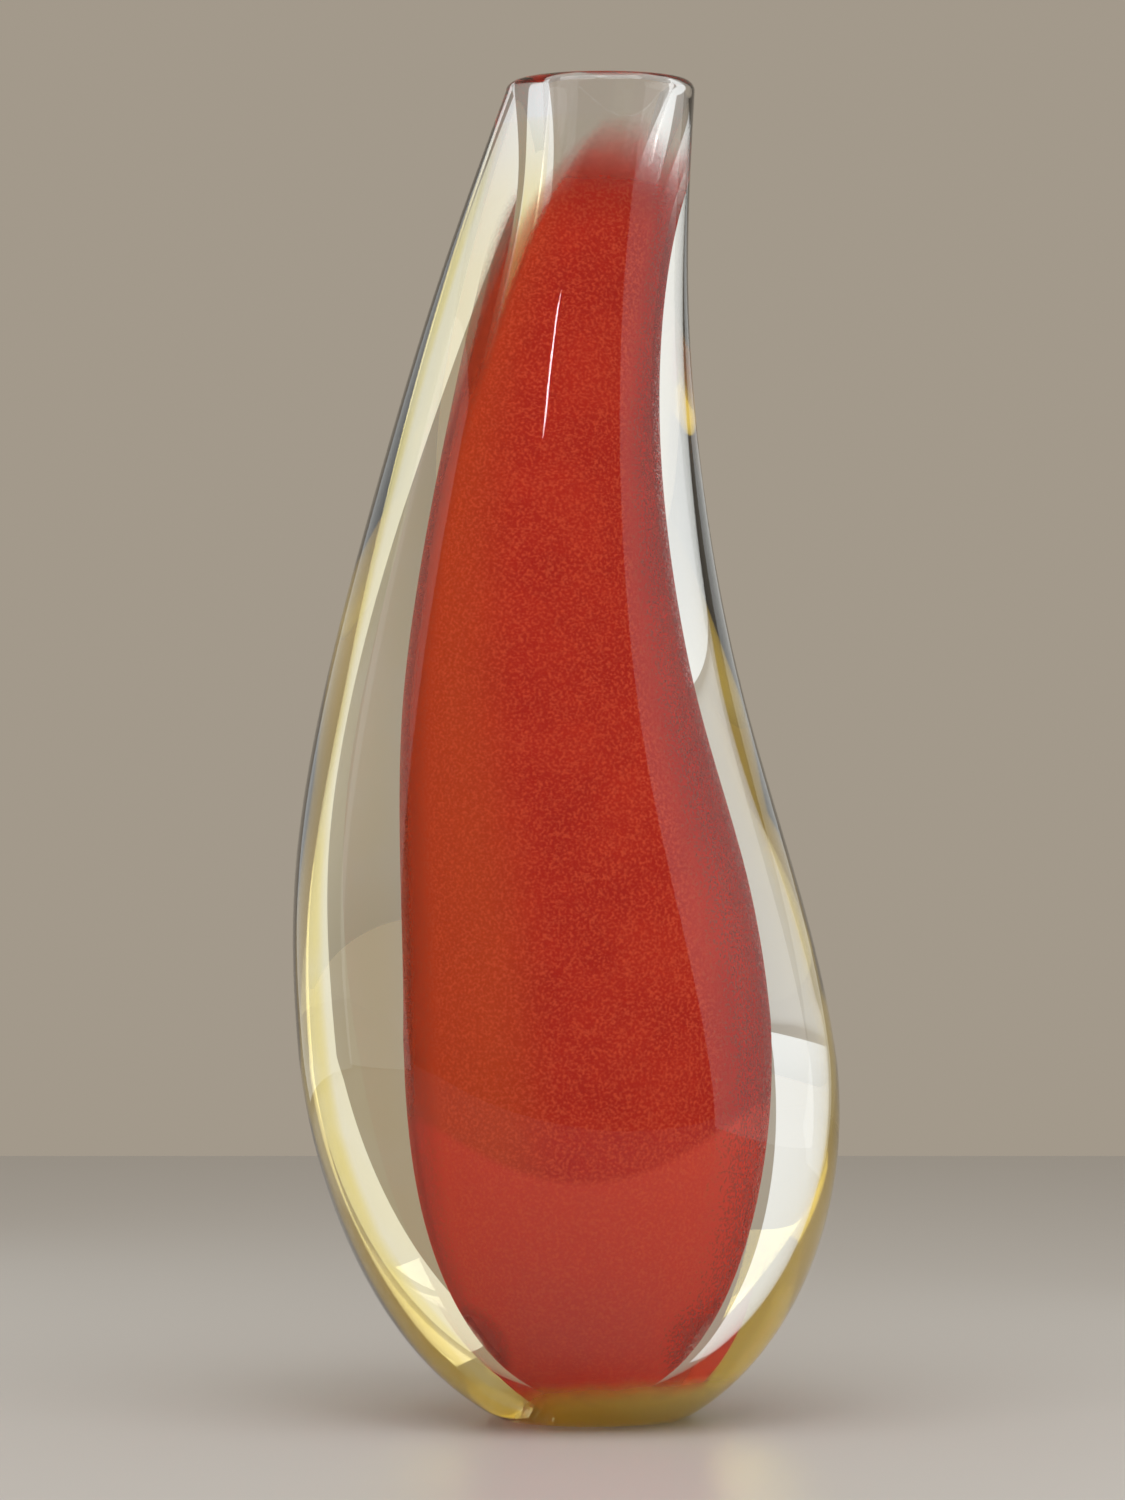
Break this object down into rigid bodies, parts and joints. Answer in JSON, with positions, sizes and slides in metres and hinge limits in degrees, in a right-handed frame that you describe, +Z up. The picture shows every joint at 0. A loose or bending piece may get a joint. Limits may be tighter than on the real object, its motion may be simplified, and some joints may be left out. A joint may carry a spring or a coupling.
{
  "type": "vase",
  "caption": "Tall leaning teardrop vase in thick cased glass: clear outside, thin amber layer, coral red core, narrow open neck and a small flat base.",
  "frame": {"origin": "on the table under the middle of the vase's width and depth", "axes": "+Z up; +X to the right of a viewer in front, the side that the lip leans to; +Y away from that viewer, along the depth"},
  "size_m": [0.1428, 0.1352, 0.35],
  "materials": {
    "clear_crystal": "clear, fire polished",
    "amber_glass": "transparent amber, fused inside the clear glass",
    "coral_glass": "coral red powder colour, soft grainy edges, fused inside the clear glass"
  },
  "bodies": {
    "root": {"clear_outer_casing": "clear_crystal", "amber_layer": "amber_glass", "clear_gather": "clear_crystal", "coral_red_layer": "coral_glass", "clear_lining": "clear_crystal"}
  },
  "joints": []
}
